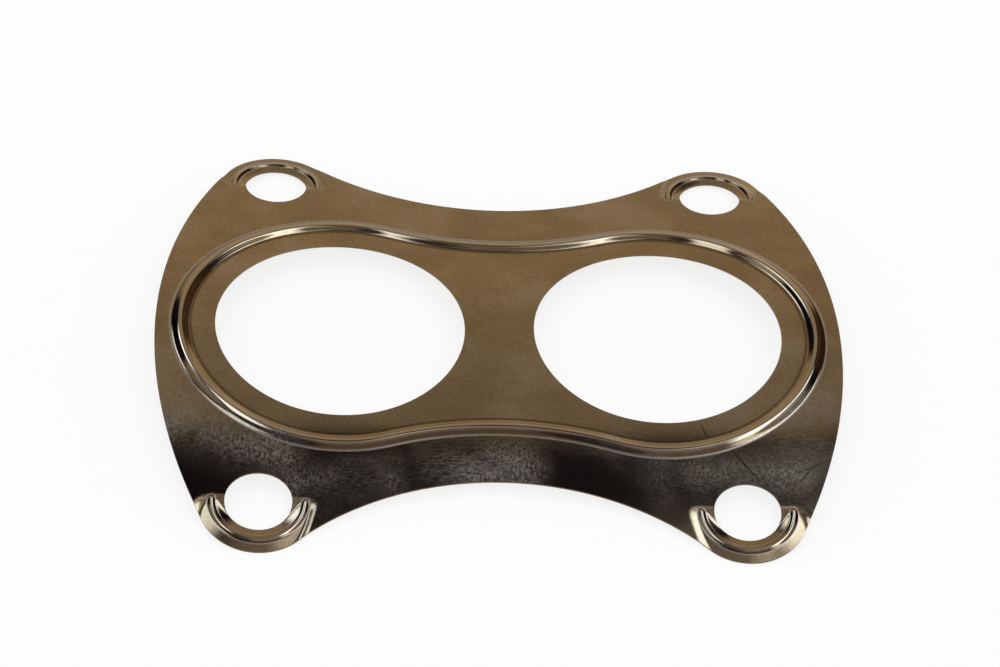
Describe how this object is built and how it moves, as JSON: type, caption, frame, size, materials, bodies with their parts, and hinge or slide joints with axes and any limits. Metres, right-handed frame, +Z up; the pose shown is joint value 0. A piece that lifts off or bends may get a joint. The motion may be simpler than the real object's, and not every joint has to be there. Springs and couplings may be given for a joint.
{
  "type": "exhaust manifold gasket",
  "caption": "Thin pressed steel sheet gasket for a twin-port exhaust flange, with a raised bead round both ports and crescents round the bolt holes",
  "frame": {"origin": "bottom centre of the bounding box: the plane the ear tips rest on, below the middle of the sheet", "axes": "X along the pair of ports, Y across them, Z up out of the face that carries the raised bead"},
  "size_m": [0.1184, 0.0996, 0.0061],
  "materials": {
    "bright_sheet": "bright rolled stainless sheet, handled"
  },
  "bodies": {
    "root": {"gasket_plate": "bright_sheet"}
  },
  "joints": []
}
